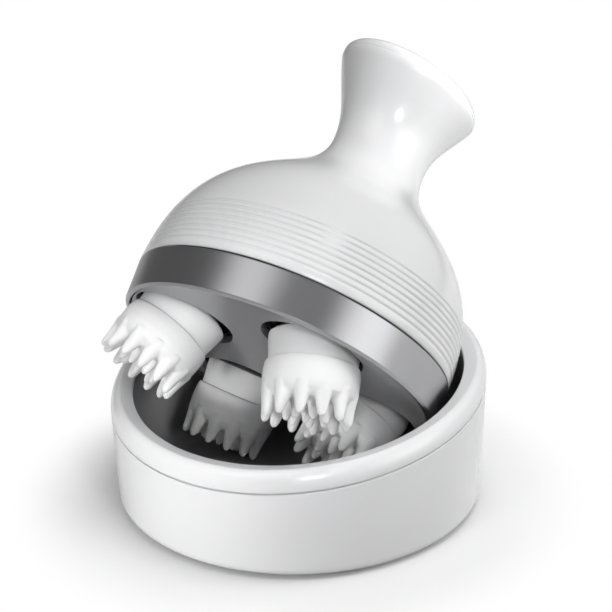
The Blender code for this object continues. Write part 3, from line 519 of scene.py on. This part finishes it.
# Dome and handle
# One white gloss shell, moulded in plastic and clamped at its foot by the ring: a dome with eight fine ribs,
# a waist, and a handle that flares to its top and stands a little off the dome's centre.
# A window at the handle's back shows the charging socket.
dome_sides = 168
dome_foot = 0.0127
dome_foot_radius = 0.0509
waist_radius = 0.0155
waist_height = 0.0755
handle_radius = 0.0240
handle_top = 0.1017
handle_slant = math.tan(math.radians(10))
handle_shift = 0.0037
shift_start = 0.0477
shell_thickness = 0.0024
dome_ends = (
    (dome_foot_radius, dome_foot),
    (dome_foot_radius, 0.0587),
    (waist_radius, 0.0535),
    (waist_radius, waist_height),
)
flare_ends = (
    (waist_radius, waist_height),
    (waist_radius, 0.0855),
    (0.0200, 0.0907),
    (handle_radius, 0.1007),
)
curve_steps = 400
dome_steps = 36
flare_steps = 18
rib_count = 8
rib_pitch = 0.00195
rib_start = 0.0148
rib_depth = 0.00034
rib_steps = 8
groove_share = 0.28
window_size = (0.0096, 0.0160, 0.0038)
window_place = (handle_shift, 0.0190, 0.0868)
dome_smooth_angle = math.radians(50)


def curve_point(ends, share):
    """A point on a curve that leaves one end and meets the other along the two middle points."""
    rest = 1 - share
    weights = (rest ** 3, 3 * rest * rest * share, 3 * rest * share * share, share ** 3)
    return [sum(weight * end[axis] for weight, end in zip(weights, ends)) for axis in (0, 1)]


dome_curve = [curve_point(dome_ends, step / curve_steps) for step in range(curve_steps + 1)]


def dome_radius(height):
    """The dome's plain radius at a height, read off its curve."""
    for (low_radius, low), (high_radius, high) in zip(dome_curve, dome_curve[1:]):
        if low <= height <= high:
            return low_radius + (high_radius - low_radius) * (height - low) / (high - low)
    return waist_radius


dome_outline = [(0.0506, dome_foot), (dome_foot_radius, 0.01305)]
for step in range(rib_count * rib_steps + 1):
    height = rib_start + rib_pitch * step / rib_steps
    along_rib = (step % rib_steps) / rib_steps
    groove = max(0.0, 1 - abs(along_rib - 0.5) / groove_share)
    dome_outline.append((dome_radius(height) - rib_depth * math.sin(groove * math.pi / 2), height))
top_of_ribs = rib_start + rib_pitch * rib_count
for step in range(1, dome_steps + 1):
    height = top_of_ribs + (waist_height - top_of_ribs) * step / dome_steps
    dome_outline.append((dome_radius(height), height))
dome_outline += [curve_point(flare_ends, step / flare_steps) for step in range(1, flare_steps + 1)]
dome_outline += [(handle_radius, 0.10165), (0.02398, handle_top)]
dome = turned_piece("dome_and_handle", dome_outline, dome_sides)
wall = dome.modifiers.new("wall", "SOLIDIFY")
wall.thickness = shell_thickness
wall.offset = -1
bpy.ops.object.modifier_apply(modifier="wall")
for point in dome.data.vertices:
    slanted = share_between(point.co.z, waist_height, handle_top)
    moved = share_between(point.co.z, shift_start, waist_height)
    point.co.z -= slanted * handle_slant * point.co.x
    point.co.x += handle_shift * moved * moved * (3 - 2 * moved)
bpy.ops.object.select_all(action="DESELECT")
bpy.ops.mesh.primitive_cube_add(size=1, location=window_place)
window = bpy.context.object
bpy.ops.transform.resize(value=window_size)
bpy.ops.object.transform_apply(location=True, rotation=True, scale=True)
soften_edges(window, width=0.0017, segments=6)
cut_away(dome, window)
bpy.ops.object.shade_smooth_by_angle(angle=dome_smooth_angle)
set_in_casing(dome)
dome.data.materials.clear()
dome.data.materials.append(gloss_white)
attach(dome, "massager")
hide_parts("dome_shell")

# Handle cap
# A white gloss lid, moulded in plastic with a full round on its edge and a hole for the button.
# Its collar plugs into the top of the handle.
lid_sides = 144
lid_hole = 0.0068
lid_back = 0.1019
lid_front = 0.1054
lid_seam = 0.10176
collar_foot = 0.0980
lid_round = 0.0034
cap_outline = [(lid_hole, lid_back), (lid_hole, 0.1051), (0.0071, lid_front), (0.0150, lid_front)]
cap_outline += arc_points((0.0206, 0.1020), across=lid_round, up=lid_round, start=90, end=0, steps=8)
cap_outline += [(0.02398, lid_seam), (0.0188, lid_seam), (0.0188, collar_foot), (0.0171, collar_foot)]
cap_outline += [(0.0171, lid_back), (lid_hole, lid_back)]
cap = turned_piece("handle_lid", cap_outline, lid_sides)
for point in cap.data.vertices:
    point.co.z -= handle_slant * point.co.x
soften_edges(cap, width=0.00003, angle=50)
handle_centre = Matrix.Translation((handle_shift, 0, 0))
set_in_casing(cap, handle_centre)
cap.data.materials.append(gloss_white)
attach(cap, "massager")
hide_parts("handle_cap")

# Power button
# A small satin silver push button in the middle of the lid, turned from aluminium and crowned for the thumb.
# Its flange holds it under the lid, and its stem reaches down to the switch.
button_sides = 72
flange_top = 0.1017
flange_foot = 0.1000
stem_foot = 0.0900
slant_above = 0.0999
button_outline = [(closed_ring, 0.1061), (0.0030, 0.1060), (0.0050, 0.10582), (0.0058, 0.1055)]
button_outline += [(0.0064, 0.1050), (0.0065, 0.1047), (0.0065, flange_top), (0.0077, flange_top)]
button_outline += [(0.0077, flange_foot), (0.0030, flange_foot), (0.0030, stem_foot)]
button_outline += [(closed_ring, stem_foot)]
button = turned_piece("push_button", button_outline, button_sides)
for point in button.data.vertices:
    if point.co.z > slant_above:
        point.co.z -= handle_slant * point.co.x
soften_edges(button, width=0.00015, angle=40)
set_in_casing(button, handle_centre)
button.data.materials.append(satin_silver)
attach(button, "button")
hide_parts("power_button")

# Inside pieces
# What the casing hides keeps its CAD shape: chassis, motor, gears, shafts, bushes, seals, battery, board
# and screws. Nylon, acetal, steel, bronze and rubber each get their own finish, and so do cell and board.
seal_rubber = moulded_finish(
    "seal_rubber", colour=(0.02, 0.02, 0.021), roughness=0.6, drift=0.2, grain=1200, relief=0.1
)
natural_acetal = moulded_finish(
    "natural_acetal", colour=(0.76, 0.75, 0.7), roughness=0.42, drift=0.03, grain=700, relief=0.06
)
dark_nylon = moulded_finish(
    "dark_nylon", colour=(0.16, 0.16, 0.17), roughness=0.5, drift=0.1, grain=900, relief=0.1
)
bright_steel = moulded_finish(
    "bright_steel", colour=(0.6, 0.6, 0.61), roughness=0.28, drift=0.06, grain=600, relief=0.04, metal=1.0
)
sintered_bronze = moulded_finish(
    "sintered_bronze",
    colour=(0.5, 0.33, 0.16),
    roughness=0.45,
    drift=0.15,
    grain=1600,
    relief=0.2,
    metal=1.0,
)
cell_wrap = moulded_finish(
    "cell_wrap", colour=(0.05, 0.12, 0.33), roughness=0.35, drift=0.05, grain=500, relief=0.03
)
board_mask = moulded_finish(
    "board_mask", colour=(0.02, 0.15, 0.06), roughness=0.4, drift=0.2, grain=400, relief=0.05
)
inside_finishes = {
    "chassis": dark_nylon,
    "chassis_screw": bright_steel,
    "motor": bright_steel,
    "drive_gear": natural_acetal,
    "head_gear": natural_acetal,
    "head_shaft": bright_steel,
    "shaft_bush": sintered_bronze,
    "head_seal": seal_rubber,
    "battery_cradle": dark_nylon,
    "battery": cell_wrap,
    "circuit_board": board_mask,
    "board_screw": bright_steel,
    "tact_switch": dark_nylon,
    "charge_socket": dark_nylon,
}
for name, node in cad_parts.items():
    kinds = [kind for kind in inside_finishes if name.startswith(kind)]
    if kinds:
        node.data.materials.clear()
        node.data.materials.append(inside_finishes[max(kinds, key=len)])

# Studio
# A plain pale floor that runs off into a white background, lit by four soft boxes and five narrow spots.
# The surround is brighter on the right than on the left.
# Reflections see soft panels in it, which give the ring its light and dark bands.
floor_size = 12
floor_drop = 0.0002
bpy.ops.object.select_all(action="DESELECT")
bpy.ops.mesh.primitive_plane_add(size=floor_size, location=(0, 0, -floor_drop))
floor = bpy.context.object
floor.name = "floor"
floor_paint = bpy.data.materials.new("floor_paint")
floor_paint.use_nodes = True
nodes = floor_paint.node_tree.nodes
links = floor_paint.node_tree.links
floor_shader = nodes["Principled BSDF"]
floor_shader.inputs["Roughness"].default_value = 0.7
floor_shader.inputs["Specular IOR Level"].default_value = 0.1
glow = nodes.new("ShaderNodeEmission")
place = nodes.new("ShaderNodeTexCoord")
distance = nodes.new("ShaderNodeVectorMath")
distance.operation = "LENGTH"
fade = nodes.new("ShaderNodeMapRange")
fade.interpolation_type = "SMOOTHSTEP"
fade.inputs["From Min"].default_value = 0.057
fade.inputs["From Max"].default_value = 0.092
seen = nodes.new("ShaderNodeLightPath")
looked_at = nodes.new("ShaderNodeMath")
looked_at.operation = "MAXIMUM"
paint = nodes.new("ShaderNodeMixRGB")
paint.inputs["Color1"].default_value = (0.42, 0.42, 0.42, 1)
paint.inputs["Color2"].default_value = (0.93, 0.93, 0.93, 1)
whitened = nodes.new("ShaderNodeMath")
whitened.operation = "MULTIPLY"
join = nodes.new("ShaderNodeMixShader")
links.new(seen.outputs["Is Camera Ray"], looked_at.inputs[0])
links.new(seen.outputs["Is Glossy Ray"], looked_at.inputs[1])
links.new(looked_at.outputs["Value"], paint.inputs["Fac"])
links.new(paint.outputs["Color"], floor_shader.inputs["Base Color"])
links.new(place.outputs["Object"], distance.inputs[0])
links.new(distance.outputs["Value"], fade.inputs["Value"])
links.new(fade.outputs["Result"], whitened.inputs[0])
links.new(seen.outputs["Is Camera Ray"], whitened.inputs[1])
links.new(whitened.outputs["Value"], join.inputs["Fac"])
links.new(floor_shader.outputs["BSDF"], join.inputs[1])
links.new(glow.outputs["Emission"], join.inputs[2])
links.new(join.outputs["Shader"], nodes["Material Output"].inputs["Surface"])
floor.data.materials.append(floor_paint)


def direction(azimuth, height):
    """A direction from the object: degrees round from the front to the right, and degrees up."""
    across = math.cos(math.radians(height))
    return Vector((
        across * math.sin(math.radians(azimuth)),
        -across * math.cos(math.radians(azimuth)),
        math.sin(math.radians(height)),
    ))


room = bpy.data.worlds.new("room")
bpy.context.scene.world = room
room.use_nodes = True
nodes = room.node_tree.nodes
links = room.node_tree.links
walls = nodes["Background"]
white = nodes.new("ShaderNodeBackground")
white.inputs["Color"].default_value = (1, 1, 1, 1)
mirrored = nodes.new("ShaderNodeBackground")
place = nodes.new("ShaderNodeTexCoord")
window_side = nodes.new("ShaderNodeVectorMath")
window_side.operation = "DOT_PRODUCT"
window_side.inputs[1].default_value = (0.92, 0.1, 0.38)
daylight = nodes.new("ShaderNodeMapRange")
daylight.inputs["From Min"].default_value = -0.7
daylight.inputs["From Max"].default_value = 0.7
daylight.inputs["To Min"].default_value = 0.12
daylight.inputs["To Max"].default_value = 0.22
links.new(place.outputs["Generated"], window_side.inputs[0])
links.new(window_side.outputs["Value"], daylight.inputs["Value"])
links.new(daylight.outputs["Result"], walls.inputs["Color"])
# Each panel's azimuth and height, where its full level ends and where it has faded out, and that level
mirrored_panels = (
    (-13, 57, 5, 25, 1.45),
    (92, 14, 6, 31, 2.0),
    (150, 30, 20, 60, 0.4),
    (36, 26, 3, 9.5, 9.0),
)
mirrored_wall = 0.16
panel_sum = None
for azimuth, height, full, faded, level in mirrored_panels:
    facing = nodes.new("ShaderNodeVectorMath")
    facing.operation = "DOT_PRODUCT"
    facing.inputs[1].default_value = direction(azimuth, height)
    panel = nodes.new("ShaderNodeMapRange")
    panel.interpolation_type = "SMOOTHSTEP"
    panel.inputs["From Min"].default_value = math.cos(math.radians(faded))
    panel.inputs["From Max"].default_value = math.cos(math.radians(full))
    panel.inputs["To Max"].default_value = level
    total = nodes.new("ShaderNodeMath")
    total.operation = "ADD"
    total.inputs[1].default_value = mirrored_wall
    links.new(place.outputs["Generated"], facing.inputs[0])
    links.new(facing.outputs["Value"], panel.inputs["Value"])
    links.new(panel.outputs["Result"], total.inputs[0])
    if panel_sum:
        links.new(panel_sum, total.inputs[1])
    panel_sum = total.outputs["Value"]
links.new(panel_sum, mirrored.inputs["Color"])
seen = nodes.new("ShaderNodeLightPath")
shine = nodes.new("ShaderNodeMixShader")
join = nodes.new("ShaderNodeMixShader")
links.new(seen.outputs["Is Glossy Ray"], shine.inputs["Fac"])
links.new(walls.outputs["Background"], shine.inputs[1])
links.new(mirrored.outputs["Background"], shine.inputs[2])
links.new(seen.outputs["Is Camera Ray"], join.inputs["Fac"])
links.new(shine.outputs["Shader"], join.inputs[1])
links.new(white.outputs["Background"], join.inputs[2])
links.new(join.outputs["Shader"], nodes["World Output"].inputs["Surface"])


def hang_lamp(name, kind, power, aim, away, azimuth, height):
    """A lamp at a distance and direction from the point it is aimed at, which reflections don't show."""
    light = bpy.data.lights.new(name, kind)
    light.energy = power
    lamp = bpy.data.objects.new(name, light)
    bpy.context.scene.collection.objects.link(lamp)
    lamp.location = Vector(aim) + away * direction(azimuth, height)
    lamp.rotation_euler = (Vector(aim) - lamp.location).to_track_quat("-Z", "Y").to_euler()
    lamp.visible_glossy = False
    return light


# Each soft box's azimuth and height, its width and its power
box_aim = (0, 0, 0.06)
box_away = 0.9
soft_boxes = {
    "soft_box_front": (-12, 14, 0.4, 1.4),
    "soft_box_right": (130, 22, 0.4, 3.3),
    "soft_box_above": (85, 75, 0.5, 3.8),
    "soft_box_back": (225, 24, 0.5, 0.8),
}
for name, (azimuth, height, width, power) in soft_boxes.items():
    box = hang_lamp(name, "AREA", power, box_aim, box_away, azimuth, height)
    box.shape = "SQUARE"
    box.size = width

# Each spot's azimuth and height, how far it hangs from its aim, that aim, its cone in degrees and its power
spot_radius = 0.03
spots = {
    "spot_on_stand": (-5, 11, 0.4, (-0.013, -0.054, 0.012), 21, 3.8),
    "spot_in_bowl": (48, 36, 0.3, (0.028, -0.008, 0.022), 9, 2.2),
    "spot_on_bowl_wall": (60, 18, 0.3, (-0.0445, -0.022, 0.024), 6, 2.6),
    "spot_on_claws": (58, 28, 0.3, (-0.026, -0.03, 0.06), 15, 2.1),
    "spot_on_handle": (70, 30, 0.3, (0.008, 0.07, 0.115), 20, 2.6),
}
for name, (azimuth, height, away, aim, cone, power) in spots.items():
    spot = hang_lamp(name, "SPOT", power, aim, away, azimuth, height)
    spot.spot_size = math.radians(cone)
    spot.spot_blend = 1.0
    spot.shadow_soft_size = spot_radius

# Camera
# A long lens at the front right that looks twenty-two degrees down, as in the photograph.
# Its focal length is counted in pixels of a picture 612 wide, and it rolls a little to one side.
sensor_width = 36
picture_width = 612
focal_pixels = 1600
camera_seat = (0.0029, -0.4513, 0.24383)
lens = bpy.data.cameras.new("camera")
lens.sensor_width = sensor_width
lens.lens = sensor_width * focal_pixels / picture_width
camera = bpy.data.objects.new("camera", lens)
bpy.context.scene.collection.objects.link(camera)
swing = Matrix.Rotation(math.radians(32.79), 4, "Z")
tilt = Matrix.Rotation(math.radians(68), 4, "X")
roll = Matrix.Rotation(math.radians(-0.97), 4, "Z")
camera.matrix_world = swing @ Matrix.Translation(camera_seat) @ tilt @ roll
bpy.context.scene.camera = camera
bpy.context.scene.view_settings.view_transform = "Standard"
